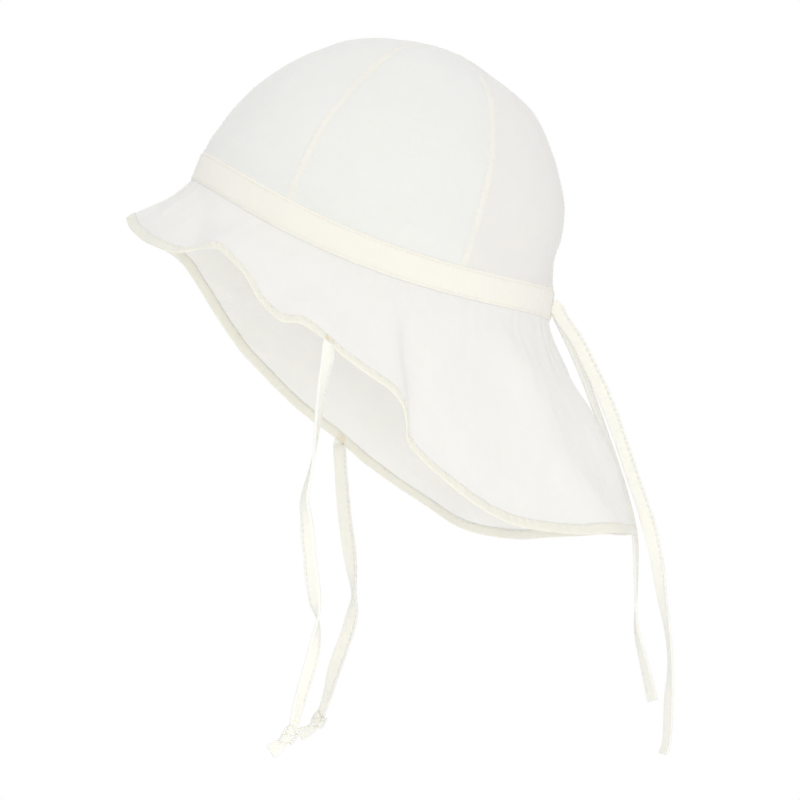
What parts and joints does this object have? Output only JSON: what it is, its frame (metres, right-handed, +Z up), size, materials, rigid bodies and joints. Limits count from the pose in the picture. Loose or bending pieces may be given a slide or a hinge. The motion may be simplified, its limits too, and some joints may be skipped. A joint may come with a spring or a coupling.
{
  "type": "baby sun hat",
  "caption": "Baby sun hat with a six-gore crown, a gathered band, a small peak that grows into a neck flap, two chin tapes and two back tapes.",
  "frame": {"origin": "middle of the hat band, where the hat sits on a head", "axes": "+Z up as the hat is worn, -Y towards the peak, +X towards the wearer's left; the hat leans back 22.3 degrees as in the picture"},
  "size_m": [0.2254, 0.237, 0.315],
  "materials": {
    "cloth": "thin off-white cotton muslin, matt",
    "casing": "two layers of the same cotton, creamier where it is folded",
    "tape": "narrow folded cotton tape, matt"
  },
  "bodies": {
    "root": {"crown_panel_front_left": "cloth", "crown_panel_left": "cloth", "crown_panel_back_left": "cloth", "crown_panel_back_right": "cloth", "crown_panel_right": "cloth", "crown_panel_front_right": "cloth", "band": "casing", "brim": "cloth", "tie_chin_left": "tape", "tie_chin_right": "tape", "tie_back_left": "tape", "tie_back_right": "tape"}
  },
  "joints": []
}
